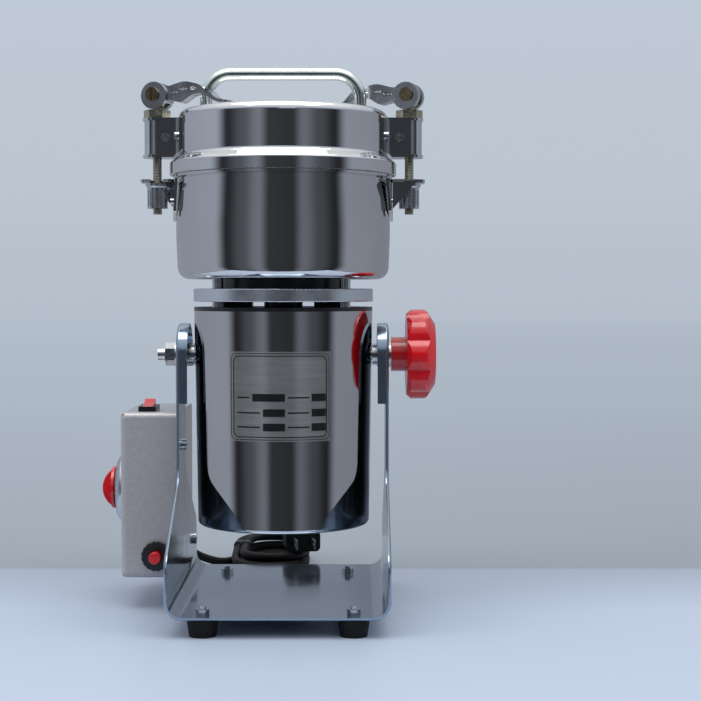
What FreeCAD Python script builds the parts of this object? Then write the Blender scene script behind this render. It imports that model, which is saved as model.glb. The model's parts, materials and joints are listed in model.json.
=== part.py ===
import FreeCAD, Part
import math
import os
import Sketcher

Vector = FreeCAD.Vector
Rotation = FreeCAD.Rotation

doc = FreeCAD.newDocument("PowderMill")
sheet = doc.addObject("Spreadsheet::Sheet", "Dims")


# ---------------------------------------------------------------- driving sizes

class Size:
    """A length that carries the spreadsheet expression it is worked out from."""

    def __init__(self, value, text):
        self.value = float(value)
        self.text = text

    def joined(self, other, sign, value):
        return Size(value, "(" + self.text + " " + sign + " " + size(other).text + ")")

    def __add__(self, other):
        return self.joined(other, "+", self.value + size(other).value)

    def __sub__(self, other):
        return self.joined(other, "-", self.value - size(other).value)

    def __mul__(self, other):
        return self.joined(other, "*", self.value * size(other).value)

    def __truediv__(self, other):
        return self.joined(other, "/", self.value / size(other).value)

    def __radd__(self, other):
        return size(other) + self

    def __rsub__(self, other):
        return size(other) - self

    def __rmul__(self, other):
        return size(other) * self

    def __neg__(self):
        return size(0) - self


def size(number):
    """Any number as a Size."""
    if isinstance(number, Size):
        return number
    return Size(number, repr(float(number)))


def dim(alias, value):
    """Store one driving dimension in the sheet and return it as a Size."""
    dim.row += 1
    sheet.set("A" + str(dim.row), alias.replace("_", " "))
    sheet.set("B" + str(dim.row), repr(float(value)))
    sheet.setAlias("B" + str(dim.row), alias)
    return Size(value, "Dims." + alias)


dim.row = 0

# running and resting gaps
run_gap = dim("run_gap", 0.05)
rest_gap = dim("rest_gap", 0.3)

# bent sheet stand
sheet_thick = dim("sheet_thick", 2.0)
frame_half = dim("frame_half", 68.0)
frame_depth = dim("frame_depth", 181.0)
frame_bottom = dim("frame_bottom", 10.9)
frame_bend = dim("frame_bend", 11.0)
arm_half = dim("arm_half", 20.0)
arm_flare = dim("arm_flare", 88.0)
arm_foot = dim("arm_foot", 46.0)
lip_width = dim("lip_width", 7.2)
lip_round = dim("lip_round", 1.9)
lip_front_low = dim("lip_front_low", 135.5)
lip_rear_low = dim("lip_rear_low", 158.0)
pivot_high = dim("pivot_high", 166.5)
foot_front_x = dim("foot_front_x", 45.5)
foot_front_y = dim("foot_front_y", -79.5)
foot_rear_x = dim("foot_rear_x", 41.5)
foot_rear_y = dim("foot_rear_y", 57.0)
foot_top = dim("foot_top", 10.0)
foot_low = dim("foot_low", 8.25)
bolt_four = dim("bolt_four", 2.0)
bolt_eight = dim("bolt_eight", 4.0)

# motor
shell_low = dim("shell_low", 57.0)
shell_top = dim("shell_top", 194.8)
shell_r_low = dim("shell_r_low", 55.5)
shell_r_top = dim("shell_r_top", 57.7)
shell_wall = dim("shell_wall", 1.2)
cap_top = dim("cap_top", 197.2)
boss_top = dim("boss_top", 200.7)
plate_top = dim("plate_top", 209.0)
plate_r = dim("plate_r", 58.0)
seat_r = dim("seat_r", 41.0)
post_x = dim("post_x", 40.0)
post_y = dim("post_y", 30.0)
post_r = dim("post_r", 3.5)
shaft_r = dim("shaft_r", 4.0)

# bowl and lid
bowl_low = dim("bowl_low", 215.0)
bowl_top = dim("bowl_top", 281.4)
bowl_wall = dim("bowl_wall", 1.4)
bowl_r_top = dim("bowl_r_top", 67.2)
bowl_r_mid = dim("bowl_r_mid", 69.2)
bowl_r_low = dim("bowl_r_low", 68.0)
bowl_corner = dim("bowl_corner", 8.0)
skirt_r = dim("skirt_r", 73.0)
skirt_top = dim("skirt_top", 289.4)
lid_r = dim("lid_r", 67.5)
lid_top = dim("lid_top", 323.0)
lid_wall = dim("lid_wall", 1.4)
handle_x = dim("handle_x", 49.7)
handle_top = dim("handle_top", 351.3)
handle_r = dim("handle_r", 4.0)
handle_bend = dim("handle_bend", 16.0)

# clamps
clamp_r = dim("clamp_r", 81.4)
rod_r = dim("rod_r", 2.8)
rod_low = dim("rod_low", 257.0)
lever_pivot = dim("lever_pivot", 333.7)
lever_head = dim("lever_head", 8.75)
cam_offset = dim("cam_offset", 1.0)
bracket_low = dim("bracket_low", 293.2)
bracket_top = dim("bracket_top", 318.5)
bracket_r = dim("bracket_r", 8.1)
strap = dim("strap", 1.7)
seat_top = dim("seat_top", 323.8)
hook_top = dim("hook_top", 279.0)
hook_reach = dim("hook_reach", 91.4)
swing_gap = dim("swing_gap", 2.2)
nut_low = dim("nut_low", 260.7)
nut_top = dim("nut_top", 276.6)
nut_r = dim("nut_r", 6.5)

# tilt knob and left pivot
hub_in = dim("hub_in", 69.9)
knob_in = dim("knob_in", 79.6)
knob_out = dim("knob_out", 98.1)
knob_r = dim("knob_r", 28.85)
knob_lobe_r = dim("knob_lobe_r", 12.0)
pivot_end = dim("pivot_end", 81.3)

# control box
box_left = dim("box_left", 106.0)
box_front = dim("box_front", -4.0)
box_rear = dim("box_rear", 81.0)
box_low = dim("box_low", 20.6)
box_top = dim("box_top", 128.7)
box_wall = dim("box_wall", 1.2)
box_round = dim("box_round", 3.8)
switch_x = dim("switch_x", -89.5)
switch_y = dim("switch_y", 15.5)
breaker_x = dim("breaker_x", -82.7)
breaker_high = dim("breaker_high", 35.3)
timer_y = dim("timer_y", 36.0)
timer_high = dim("timer_high", 75.0)
timer_reach = dim("timer_reach", 123.8)
dial_reach = dim("dial_reach", 114.3)

# mains cord
cord_r = dim("cord_r", 3.0)
cord_exit_x = dim("cord_exit_x", -87.0)
cord_exit_high = dim("cord_exit_high", 32.0)
hank_x = dim("hank_x", -16.0)
hank_y = dim("hank_y", 152.0)
hank_straight = dim("hank_straight", 25.0)
hank_out = dim("hank_out", 28.0)
hank_in = dim("hank_in", 16.0)
hank_high = dim("hank_high", 18.0)

# the left end of the timer knob and the right end of the tilt knob stand level about the origin
spindle_x = (timer_reach - knob_out) / 2

doc.recompute()


# ---------------------------------------------------------------- building tools

finished = []


def bind(item, name, length):
    """Drive one property from the sheet."""
    item.setExpression(name, size(length).text)


def place(item, base=(0, 0, 0), rotation=Rotation()):
    """Put an object at a base point that follows the sheet."""
    numbers = [size(part).value for part in base]
    item.Placement = FreeCAD.Placement(Vector(*numbers), rotation)
    for letter, part in zip("xyz", base):
        bind(item, "Placement.Base." + letter, part)
    return item


ALONG = {
    "x": Rotation(Vector(0, 1, 0), 90),
    "y": Rotation(Vector(1, 0, 0), -90),
    "z": Rotation(),
}


def cylinder(radius, length, base=(0, 0, 0), axis="z"):
    item = doc.addObject("Part::Cylinder", "Cylinder")
    bind(item, "Radius", radius)
    bind(item, "Height", length)
    return place(item, base, ALONG[axis])


def ball(radius, base):
    item = doc.addObject("Part::Sphere", "Ball")
    bind(item, "Radius", radius)
    return place(item, base)


def cone(radius_1, radius_2, length, base=(0, 0, 0), axis="z"):
    item = doc.addObject("Part::Cone", "Cone")
    bind(item, "Radius1", radius_1)
    bind(item, "Radius2", radius_2)
    bind(item, "Height", length)
    return place(item, base, ALONG[axis])


def block(low, high, turn=0):
    """A box between two corners, turned about its own low corner's z axis."""
    item = doc.addObject("Part::Box", "Block")
    for name, start, end in zip(("Length", "Width", "Height"), low, high):
        bind(item, name, size(end) - start)
    return place(item, low, Rotation(Vector(0, 0, 1), turn))


def hexagon(across_flats, length, base, axis="z"):
    item = doc.addObject("Part::Prism", "Hexagon")
    item.Polygon = 6
    bind(item, "Circumradius", size(across_flats) / math.sqrt(3))
    bind(item, "Height", length)
    return place(item, base, ALONG[axis])


def cut(base, *tools):
    for tool in tools:
        item = doc.addObject("Part::Cut", "Cut")
        item.Base = base
        item.Tool = tool
        base = item
    return base


def fuse(*parts):
    item = doc.addObject("Part::MultiFuse", "Fuse")
    item.Shapes = list(parts)
    item.Refine = True
    return item


def common(first, second):
    item = doc.addObject("Part::Common", "Common")
    item.Base = first
    item.Tool = second
    return item


def tube(outer, inner, length, base=(0, 0, 0), axis="z"):
    return cut(cylinder(outer, length, base, axis), cylinder(inner, length, base, axis))


def group(*parts):
    item = doc.addObject("Part::Compound", "Group")
    item.Links = list(parts)
    return item


def turned(item, degrees):
    """A copy of an object turned about the spindle axis."""
    copy = doc.addObject("Part::Compound", "Turned")
    copy.Links = [item]
    copy.Placement = FreeCAD.Placement(Vector(), Rotation(Vector(0, 0, 1), degrees))
    return copy


def feature(shape):
    """A shape made in code from sheet sizes, where no primitive or sketch fits."""
    item = doc.addObject("Part::Feature", "Shape")
    item.Shape = shape
    return item


def new_body():
    return doc.addObject("PartDesign::Body", "Body")


def corner_arc(before, corner, after, radius):
    """The start, centre and end of the arc that rounds one corner, and whether it turns left."""
    to_before = (before - corner).normalize()
    to_after = (after - corner).normalize()
    half = to_before.getAngle(to_after) / 2
    reach = radius / math.tan(half)
    middle = (to_before + to_after).normalize() * (radius / math.sin(half))
    left = to_before.cross(to_after).z < 0
    return corner + to_before * reach, corner + middle, corner + to_after * reach, left


def add_loop(sketch, points):
    """Draw a closed outline of (x, y) or (x, y, corner radius), every corner held by the sheet."""
    corners = [Vector(size(p[0]).value, size(p[1]).value, 0) for p in points]
    count = len(points)
    starts, ends, arcs = [], [], {}
    for index, point in enumerate(points):
        if len(point) == 3:
            arc = corner_arc(
                corners[index - 1], corners[index], corners[(index + 1) % count], size(point[2]).value
            )
            arcs[index] = arc
            ends.append(arc[0])
            starts.append(arc[2])
        else:
            ends.append(corners[index])
            starts.append(corners[index])
    lines = []
    for index in range(count):
        line = Part.LineSegment(starts[index], ends[(index + 1) % count])
        lines.append(sketch.addGeometry(line, False))
    for index, point in enumerate(points):
        line_in = lines[index - 1]
        line_out = lines[index]
        if index in arcs:
            held, vertex = round_corner(sketch, arcs[index], corners[index], line_in, line_out, point[2])
        else:
            sketch.addConstraint(Sketcher.Constraint("Coincident", line_in, 2, line_out, 1))
            held, vertex = line_out, 1
        hold_point(sketch, held, vertex, point)


def round_corner(sketch, arc, corner, line_in, line_out, radius):
    """Round one corner with a tangent arc and return the construction point at the corner."""
    start, centre, end, left = arc
    first, last = (start, end) if left else (end, start)
    angles = [math.atan2(p.y - centre.y, p.x - centre.x) for p in (first, last)]
    circle = Part.Circle(centre, Vector(0, 0, 1), size(radius).value)
    geometry = sketch.addGeometry(Part.ArcOfCircle(circle, angles[0], angles[1]), False)
    mark = sketch.addGeometry(Part.Point(corner), True)
    sketch.addConstraint(Sketcher.Constraint("PointOnObject", mark, 1, line_in))
    sketch.addConstraint(Sketcher.Constraint("PointOnObject", mark, 1, line_out))
    at_start, at_end = (1, 2) if left else (2, 1)
    sketch.addConstraint(Sketcher.Constraint("Tangent", line_in, 2, geometry, at_start))
    sketch.addConstraint(Sketcher.Constraint("Tangent", line_out, 1, geometry, at_end))
    number = sketch.addConstraint(Sketcher.Constraint("Radius", geometry, size(radius).value))
    bind(sketch, "Constraints[" + str(number) + "]", radius)
    return mark, 1


def hold_point(sketch, geometry, vertex, point):
    """Tie one sketch point to the origin by two distances from the sheet."""
    for kind, length in (("DistanceX", point[0]), ("DistanceY", point[1])):
        value = size(length).value
        number = sketch.addConstraint(Sketcher.Constraint(kind, -1, 1, geometry, vertex, value))
        bind(sketch, "Constraints[" + str(number) + "]", length)


def add_circle(sketch, centre, radius):
    """Draw a circle whose centre and radius follow the sheet."""
    middle = Vector(size(centre[0]).value, size(centre[1]).value, 0)
    circle = Part.Circle(middle, Vector(0, 0, 1), size(radius).value)
    geometry = sketch.addGeometry(circle, False)
    hold_point(sketch, geometry, 3, centre)
    number = sketch.addConstraint(Sketcher.Constraint("Radius", geometry, size(radius).value))
    bind(sketch, "Constraints[" + str(number) + "]", radius)


def new_sketch(body, plane, loops=(), circles=(), offset=0):
    """A sketch on one of the body's own origin planes."""
    sketch = body.newObject("Sketcher::SketchObject", "Sketch")
    planes = [item for item in body.Origin.OriginFeatures if item.Role == plane + "_Plane"]
    sketch.AttachmentSupport = (planes[0], "")
    sketch.MapMode = "FlatFace"
    bind(sketch, "AttachmentOffset.Base.z", offset)
    for points in loops:
        add_loop(sketch, points)
    for centre, radius in circles:
        add_circle(sketch, centre, radius)
    return sketch


def pad(body, sketch, length, both_sides=False):
    item = body.newObject("PartDesign::Pad", "Pad")
    item.Profile = sketch
    bind(item, "Length", length)
    if both_sides:
        item.SideType = "Symmetric"
    item.Refine = True
    return item


def pocket(body, sketch, length):
    """Cut a sketch to both sides and make sure that something went."""
    doc.recompute()
    before = body.Shape.Volume
    item = body.newObject("PartDesign::Pocket", "Pocket")
    item.Profile = sketch
    bind(item, "Length", length)
    item.SideType = "Symmetric"
    doc.recompute()
    if body.Shape.Volume > before - 0.01:
        raise RuntimeError("a pocket cut nothing")
    return item


def spun(points, angle=360):
    """A body turned about the z axis from an outline of (radius, z)."""
    body = new_body()
    sketch = new_sketch(body, "XZ", [points])
    item = body.newObject("PartDesign::Revolution", "Revolution")
    item.Profile = sketch
    item.ReferenceAxis = (sketch, ["V_Axis"])
    item.Angle = angle
    return body


def extruded(plane, points, length, offset=0, circles=(), both_sides=False):
    """A body padded from one outline, with holes where circles are given."""
    body = new_body()
    pad(body, new_sketch(body, plane, [points], circles, offset), length, both_sides)
    return body


def round_edges(body, radius, wanted):
    """Fillet those edges of a body that the test picks."""
    doc.recompute()
    last = body.Tip
    names = []
    for index, edge in enumerate(last.Shape.Edges):
        if wanted(edge):
            names.append("Edge" + str(index + 1))
    item = body.newObject("PartDesign::Fillet", "Fillet")
    item.Base = (last, names)
    bind(item, "Radius", radius)
    return item


def finish(label, item):
    """Name a finished sub-part and move it from the spindle axis into the model's frame."""
    item.Label = label
    bind(item, "Placement.Base.x", spindle_x)
    finished.append(item)


# ---------------------------------------------------------------- bent sheet stand

BOX_SCREWS = [(size(6.0), size(107.0)), (size(69.0), size(35.0))]


def foot_spots():
    """Centres of the four feet: the rear pair stands a little closer together."""
    front = [(-foot_front_x, foot_front_y), (foot_front_x, foot_front_y)]
    rear = [(-foot_rear_x, foot_rear_y), (foot_rear_x, foot_rear_y)]
    return front + rear


def make_base_frame():
    """One sheet bent to a U, with flared arms and a lip round each arm's top."""
    high = pivot_high + arm_half
    inside = frame_half - sheet_thick
    low = frame_bottom
    floor = frame_bottom + sheet_thick
    half_depth = frame_depth / 2
    body = new_body()
    section = [
        (-frame_half, high), (-frame_half, low, frame_bend), (frame_half, low, frame_bend),
        (frame_half, high), (inside, high), (inside, floor, frame_bend - sheet_thick),
        (-inside, floor, frame_bend - sheet_thick), (-inside, high),
    ]
    pad(body, new_sketch(body, "XZ", [section]), frame_depth, both_sides=True)
    top_round = arm_half - 0.1
    arm = [
        (-half_depth, low - 1), (half_depth, low - 1), (half_depth, arm_foot, 12),
        (arm_half, arm_flare, 16), (arm_half, high, top_round), (-arm_half, high, top_round),
        (-arm_half, arm_flare, 16), (-half_depth, arm_foot, 12),
    ]
    around = [
        (-half_depth - 5, low - 5), (half_depth + 5, low - 5),
        (half_depth + 5, high + 5), (-half_depth - 5, high + 5),
    ]
    pocket(body, new_sketch(body, "YZ", [around, arm]), frame_half * 4)
    lip_out = arm_half
    lip_in = arm_half - sheet_thick
    lip_high = pivot_high + lip_out
    lip = [
        (-lip_out, lip_front_low), (-lip_out, lip_high, lip_out - 0.1),
        (lip_out, lip_high, lip_out - 0.1), (lip_out, lip_rear_low), (lip_in, lip_rear_low),
        (lip_in, pivot_high + lip_in, lip_in - 0.1), (-lip_in, pivot_high + lip_in, lip_in - 0.1),
        (-lip_in, lip_front_low),
    ]
    for start in (-frame_half, frame_half - lip_width):
        pad(body, new_sketch(body, "YZ", [lip], offset=start), lip_width)
    outer = frame_half.value

    def on_lip(edge):
        return all(abs(abs(v.X) - outer) < 0.01 and v.Z > arm_flare.value for v in edge.Vertexes)

    round_edges(body, lip_round, on_lip)
    corners = foot_spots()
    holes = [(corner, bolt_four + 0.15) for corner in corners]
    pocket(body, new_sketch(body, "XY", circles=holes, offset=frame_bottom), sheet_thick * 6)
    pocket(body, new_sketch(body, "YZ", circles=[((0, pivot_high), bolt_eight + 0.2)]), frame_half * 3)
    screws = [(spot, bolt_four + 0.15) for spot in BOX_SCREWS]
    screw_sketch = new_sketch(body, "YZ", circles=screws, offset=-frame_half)
    pocket(body, screw_sketch, sheet_thick * 6)
    finish("base_frame", body)


def make_feet():
    """Four rubber feet, each on one screw with a nut on the base sheet."""
    feet, screws, nuts = [], [], []
    shelf = size(5.0)
    for x, y in foot_spots():
        foot = cone(foot_low, foot_top, frame_bottom, (x, y, 0))
        recess = cylinder(5.0, shelf, (x, y, 0))
        hole = cylinder(bolt_four + run_gap, frame_bottom, (x, y, 0))
        feet.append(cut(foot, recess, hole))
        head = cylinder(3.9, 2.4, (x, y, shelf - 2.4))
        slot = block((x - 3.2, y - 0.5, shelf - 2.4), (x + 3.2, y + 0.5, shelf - 1.4))
        shank = cylinder(bolt_four, 13.4, (x, y, shelf - 0.5))
        screws.append(cut(fuse(head, shank), slot))
        floor = frame_bottom + sheet_thick
        nut = hexagon(7.0, 3.2, (x, y, floor))
        nuts.append(cut(nut, cylinder(bolt_four + run_gap, 3.2, (x, y, floor))))
    finish("rubber_feet", group(*feet))
    finish("foot_fasteners", group(*screws, *nuts))


# ---------------------------------------------------------------- control box

def make_control_box():
    """Painted sheet box on the left arm, open towards the arm and closed by a back plate."""
    body = new_body()
    outline = [
        (-box_left, box_front), (-frame_half, box_front), (-frame_half, box_rear), (-box_left, box_rear),
    ]
    pad(body, new_sketch(body, "XY", [outline], offset=box_low), box_top - box_low)
    wall_x = frame_half.value

    def outside(edge):
        return not all(abs(v.X + wall_x) < 0.01 for v in edge.Vertexes)

    round_edges(body, box_round, outside)
    hollow = [
        (box_front + box_wall, box_low + box_wall), (box_rear - box_wall, box_low + box_wall),
        (box_rear - box_wall, box_top - box_wall), (box_front + box_wall, box_top - box_wall),
    ]
    deep = (box_left - frame_half - box_wall) * 2
    pocket(body, new_sketch(body, "YZ", [hollow], offset=-frame_half), deep)
    switch = [
        (switch_x - 4.8, switch_y - 10.0), (switch_x + 4.8, switch_y - 10.0),
        (switch_x + 4.8, switch_y + 10.0), (switch_x - 4.8, switch_y + 10.0),
    ]
    pocket(body, new_sketch(body, "XY", [switch], offset=box_top), box_wall * 4)
    timer = [((timer_y, timer_high), size(5.2))]
    pocket(body, new_sketch(body, "YZ", circles=timer, offset=-box_left), box_wall * 4)
    breaker = [((breaker_x, breaker_high), size(6.2))]
    pocket(body, new_sketch(body, "XZ", circles=breaker, offset=-box_front), box_wall * 4)
    cord = [((cord_exit_x, cord_exit_high), size(5.2))]
    pocket(body, new_sketch(body, "XZ", circles=cord, offset=-box_rear), box_wall * 4)
    finish("control_box_shell", body)

    plate_y = (box_front + box_wall + 0.1, box_rear - box_wall - 0.1)
    plate_z = (box_low + box_wall + 0.1, box_top - box_wall - 0.1)
    near, far = plate_y
    low, top = plate_z
    outline = [(near, low), (far, low), (far, top), (near, top)]
    holes = [(spot, bolt_four + 0.15) for spot in BOX_SCREWS]
    plate = extruded("YZ", outline, box_wall, -frame_half - box_wall, holes)
    finish("control_box_back_plate", plate)
    screws = []
    for y, z in BOX_SCREWS:
        head = cylinder(3.8, 2.2, (-frame_half + sheet_thick, y, z), "x")
        shank = cylinder(bolt_four, 9.0, (-frame_half + sheet_thick - 8.5, y, z), "x")
        face = -frame_half + sheet_thick
        slot = block((face + 1.2, y - 3, z - 0.5), (face + 3, y + 3, z + 0.5))
        nut = hexagon(7.0, 3.0, (-frame_half - box_wall - 3.0, y, z), "x")
        screws.append(cut(fuse(head, shank, nut), slot))
    finish("control_box_screws", group(*screws))


def make_switch():
    """Rocker switch in the box's top: a black housing with raised cheeks and a red rocker."""
    low = box_top - 16
    flange_top = box_top + 3.2
    body = block((switch_x - 4.6, switch_y - 9.9, low), (switch_x + 4.6, switch_y + 9.9, box_top + 0.2))
    flange = block((switch_x - 5.7, switch_y - 10.8, box_top), (switch_x + 5.7, switch_y + 10.8, flange_top))
    well_low = (switch_x - 3.7, switch_y - 9.0, box_top - 8)
    well_high = (switch_x + 3.7, switch_y + 9.0, flange_top + 1)
    well = block(well_low, well_high)
    finish("switch_housing", cut(fuse(body, flange), well))
    outline = [
        (switch_y - 7.0, box_top - 1.6), (switch_y, box_top - 4.0), (switch_y + 7.0, box_top + 1.0),
        (switch_y + 7.0, box_top + 7.9, 1.0), (switch_y, box_top + 4.4), (switch_y - 7.0, box_top + 3.4, 1.0),
    ]
    rocker = extruded("YZ", outline, 6.8, switch_x, both_sides=True)
    finish("switch_rocker", rocker)


def make_breaker():
    """Overload breaker in the box's front: barrel, knurled ring nut and red reset button."""
    front = box_front
    barrel = cylinder(6.0, 30.0, (breaker_x, front - 4.5, breaker_high), "y")
    case = cylinder(9.0, 22.0, (breaker_x, front + box_wall + 2.0, breaker_high), "y")
    bore = cylinder(4.4, 12.0, (breaker_x, front - 5.0, breaker_high), "y")
    finish("breaker_body", cut(fuse(barrel, case), bore))
    ring = cylinder(9.5, 3.6, (breaker_x, front - 3.6, breaker_high), "y")
    hole = cylinder(size(6.0) + run_gap, 3.6, (breaker_x, front - 3.6, breaker_high), "y")
    ring = cut(ring, hole)
    flutes = []
    for step in range(16):
        angle = math.radians(360 / 16 * step)
        x = breaker_x + 9.8 * math.cos(angle)
        z = breaker_high + 9.8 * math.sin(angle)
        flutes.append(cylinder(0.8, 3.6, (x, front - 3.6, z), "y"))
    finish("breaker_ring", cut(ring, fuse(*flutes)))
    stem = cylinder(4.0, 11.0, (breaker_x, front - 10.5, breaker_high), "y")
    finish("reset_button", round_rim(stem, 0.8, lambda edge: edge.BoundBox.YMax < front.value - 10.4))


def round_rim(base, radius, wanted):
    """Fillet chosen edges of a Part solid."""
    doc.recompute()
    item = doc.addObject("Part::Fillet", "Rounded")
    item.Base = base
    picked = []
    for index, edge in enumerate(base.Shape.Edges):
        if wanted(edge):
            picked.append((index + 1, radius, radius))
    item.Edges = picked
    return item


def make_timer():
    """Timer in the box's left side: body, convex dial plate and half-moon knob."""
    side = -box_left
    case = cylinder(19.0, 18.0, (side + box_wall + 0.5, timer_y, timer_high), "x")
    neck = cylinder(5.0, 9.0, (side - 0.5, timer_y, timer_high), "x")
    bore = cylinder(2.2, 14.0, (side - 0.5, timer_y, timer_high), "x")
    finish("timer_body", cut(fuse(case, neck), bore))
    rise = dial_reach - box_left
    points = [
        (5.2, 0), (23.5, 0), (23.5, 3.5, 3.0), (20.0, 6.5, 6.0), (12.0, rise), (5.2, rise),
    ]
    dial = spun(points)
    holder = group(dial)
    place(holder, (side, timer_y, timer_high), Rotation(Vector(0, 1, 0), -90))
    finish("timer_dial", group(holder))
    start = -dial_reach - rest_gap
    shaft = cylinder(2.15, 21.0, (start, timer_y, timer_high), "x")
    base = cylinder(14.0, 2.0, (start - 2.0, timer_y, timer_high), "x")
    dome = ball(15.0, (-timer_reach + 15.0, timer_y, timer_high))
    grip_low = (-timer_reach - 1, timer_y - 4.6, timer_high - 20)
    grip_high = (start - 1.0, timer_y + 4.6, timer_high + 20)
    crown = common(dome, block(grip_low, grip_high))
    finish("timer_knob", fuse(crown, base, shaft))


def make_inlet():
    """Tapered strain relief where the mains cord leaves the back of the box."""
    nut = hexagon(12.0, 3.0, (cord_exit_x, box_rear - box_wall - 3.0, cord_exit_high), "y")
    flange = cylinder(7.0, 3.0, (cord_exit_x, box_rear, cord_exit_high), "y")
    neck = cylinder(5.0, 6.0, (cord_exit_x, box_rear - 5.5, cord_exit_high), "y")
    taper = cone(5.6, 3.9, 19.0, (cord_exit_x, box_rear + 3.0, cord_exit_high), "y")
    bore = cylinder(cord_r, 19.0, (cord_exit_x, box_rear - 6.0, cord_exit_high), "y")
    finish("cord_strain_relief", cut(fuse(nut, flange, neck, taper), bore))


# ---------------------------------------------------------------- motor

def make_motor_shell():
    """Polished tube, a little wider at the top, turned in at the bottom."""
    inner_top = shell_r_top - shell_wall
    inner_low = shell_r_low - shell_wall
    points = [
        (46, shell_low), (shell_r_low, shell_low, 2.5), (shell_r_top, shell_top), (inner_top, shell_top),
        (inner_low, shell_low + shell_wall, 1.3), (46, shell_low + shell_wall),
    ]
    body = spun(points)
    hole = [((0, pivot_high), bolt_eight + 0.1)]
    pocket(body, new_sketch(body, "YZ", circles=hole), shell_r_top * 3)
    finish("motor_shell", body)

    low = shell_low + shell_wall
    body = spun([(9.5, low), (52.5, low), (52.5, low + 2.4), (14, low + 2.4), (14, low + 9), (9.5, low + 9)])
    slots = []
    for step in range(12):
        angle = math.radians(30 * step)
        slots.append(((34 * math.cos(angle), 34 * math.sin(angle)), size(5.0)))
    pocket(body, new_sketch(body, "XY", circles=slots, offset=low), 12)
    finish("motor_bottom_cover", body)

    top = [
        (11.2, shell_top - 2), (shell_r_top - 3, shell_top - 2), (shell_r_top - 3, shell_top),
        (shell_r_top, shell_top), (shell_r_top, cap_top), (12.5, cap_top), (12.5, boss_top - 0.1),
        (11.2, boss_top - 0.1),
    ]
    ring = spun(top)
    blocks = [
        block((side - 9, -8, cap_top), (side + 9, 8, boss_top))
        for side in (-29, 29)
    ]
    finish("motor_top_cap", fuse(ring, *blocks))


def make_motor_inside():
    """Stator, windings, brushes and bearings of the universal motor."""
    low = size(97.0)
    top = size(147.0)
    stator = tube(52.0, 29.0, top - low, (0, 0, low))
    rods = [cylinder(2.0, shell_top - 2 - low + 4, (46 * side, 0, low - 4)) for side in (-1, 1)]
    heads = [cylinder(3.6, 3.0, (46 * side, 0, low - 7)) for side in (-1, 1)]
    finish("stator_core", fuse(stator, *rods, *heads))
    coils = [tube(45.0, 31.0, 11.0, (0, 0, start)) for start in (low - 11, top)]
    rod_gaps = [cylinder(4.2, 80.0, (46 * side, 0, low - 15)) for side in (-1, 1)]
    finish("field_windings", group(*[cut(coil, *rod_gaps) for coil in coils]))
    holders, brushes = [], []
    for side in (-1, 1):
        near, far = (13.0, 40.0) if side > 0 else (-40.0, -13.0)
        outer = block((-5, near, 72), (5, far, 84))
        inner = block((-3.1, near - 1, 74.4), (3.1, far + 1, 81.6))
        foot = block((-5, near + 12, shell_low + shell_wall + 2.4), (5, near + 18, 72))
        holders.append(cut(fuse(outer, foot), inner))
        start, end = (12.3, 30.0) if side > 0 else (-30.0, -12.3)
        brushes.append(block((-3.0, start, 74.5), (3.0, end, 81.5)))
    finish("brush_gear", group(*holders, *brushes))
    bearing_low = shell_low + shell_wall + 1
    bearings = [
        tube(9.45, shaft_r + run_gap, 7.0, (0, 0, bearing_low)),
        tube(11.15, shaft_r + run_gap, 7.0, (0, 0, shell_top - 1.5)),
    ]
    finish("shaft_bearings", group(*bearings))


def make_mounting():
    """Aluminium plate between motor and bowl, its spacers and the bowl's seat."""
    spots = [(x, y) for x in (-post_x, post_x) for y in (-post_y, post_y)]
    plate = cylinder(plate_r, plate_top - boss_top, (0, 0, boss_top))
    bore = cylinder(7.0, plate_top - boss_top, (0, 0, boss_top))
    plate = cut(plate, bore)
    finish("mount_plate", round_rim(plate, 0.8, lambda edge: edge.Length > 300))
    lower = [cylinder(post_r, boss_top - cap_top, (x, y, cap_top)) for x, y in spots]
    upper = [cylinder(post_r, bowl_low - plate_top, (x, y, plate_top)) for x, y in spots]
    finish("plate_spacers", group(*lower, *upper))
    seat = tube(seat_r, 7.0, bowl_low - plate_top, (0, 0, plate_top))
    finish("bowl_seat", seat)


def make_pivots():
    """Threaded studs, spacers, washer and nut that carry the motor between the arms."""
    face = frame_half - sheet_thick - rest_gap
    wall = cylinder(shell_r_top + 0.05, 60.0, (0, 0, pivot_high - 30))
    spacers = []
    for start in (-face, shell_r_low - 1):
        length = face - shell_r_low + 1
        tube_part = tube(7.0, bolt_eight + run_gap, length, (start, 0, pivot_high), "x")
        spacers.append(cut(tube_part, wall))
    inner = size(52.0)
    left = cylinder(bolt_eight, pivot_end - inner, (-pivot_end, 0, pivot_high), "x")
    left_head = hexagon(13.0, 5.0, (-inner - 2.6, 0, pivot_high), "x")
    right = cylinder(bolt_eight, size(93.0) - inner, (inner, 0, pivot_high), "x")
    right_head = hexagon(13.0, 5.0, (inner - 2.4, 0, pivot_high), "x")
    finish("pivot_studs", group(fuse(left, left_head), fuse(right, right_head)))
    outside = frame_half + rest_gap
    washers = [
        tube(8.5, bolt_eight + run_gap, 1.6, (-outside - 1.6, 0, pivot_high), "x"),
        tube(8.5, bolt_eight + run_gap, 1.3, (outside, 0, pivot_high), "x"),
    ]
    nut_start = -outside - 1.6 - 6.5
    nut = hexagon(13.0, 6.5, (nut_start, 0, pivot_high), "x")
    nut = cut(nut, cylinder(bolt_eight + run_gap, 6.5, (nut_start, 0, pivot_high), "x"))
    finish("pivot_fasteners", group(*spacers, *washers, nut))


def make_label():
    """Blank foil plate on the front of the shell."""
    taper = (shell_r_top - shell_r_low) / (shell_top - shell_low)
    low, high = size(114.8), size(170.2)
    r_low = shell_r_low + (low - shell_low) * taper + run_gap
    r_high = shell_r_low + (high - shell_low) * taper + run_gap
    points = [(r_low, low), (r_low + 0.25, low), (r_high + 0.25, high), (r_high, high)]
    strip = spun(points, 66)
    strip.Placement = FreeCAD.Placement(Vector(), Rotation(Vector(0, 0, 1), -90 - 33))
    finish("label_plate", strip)


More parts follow.
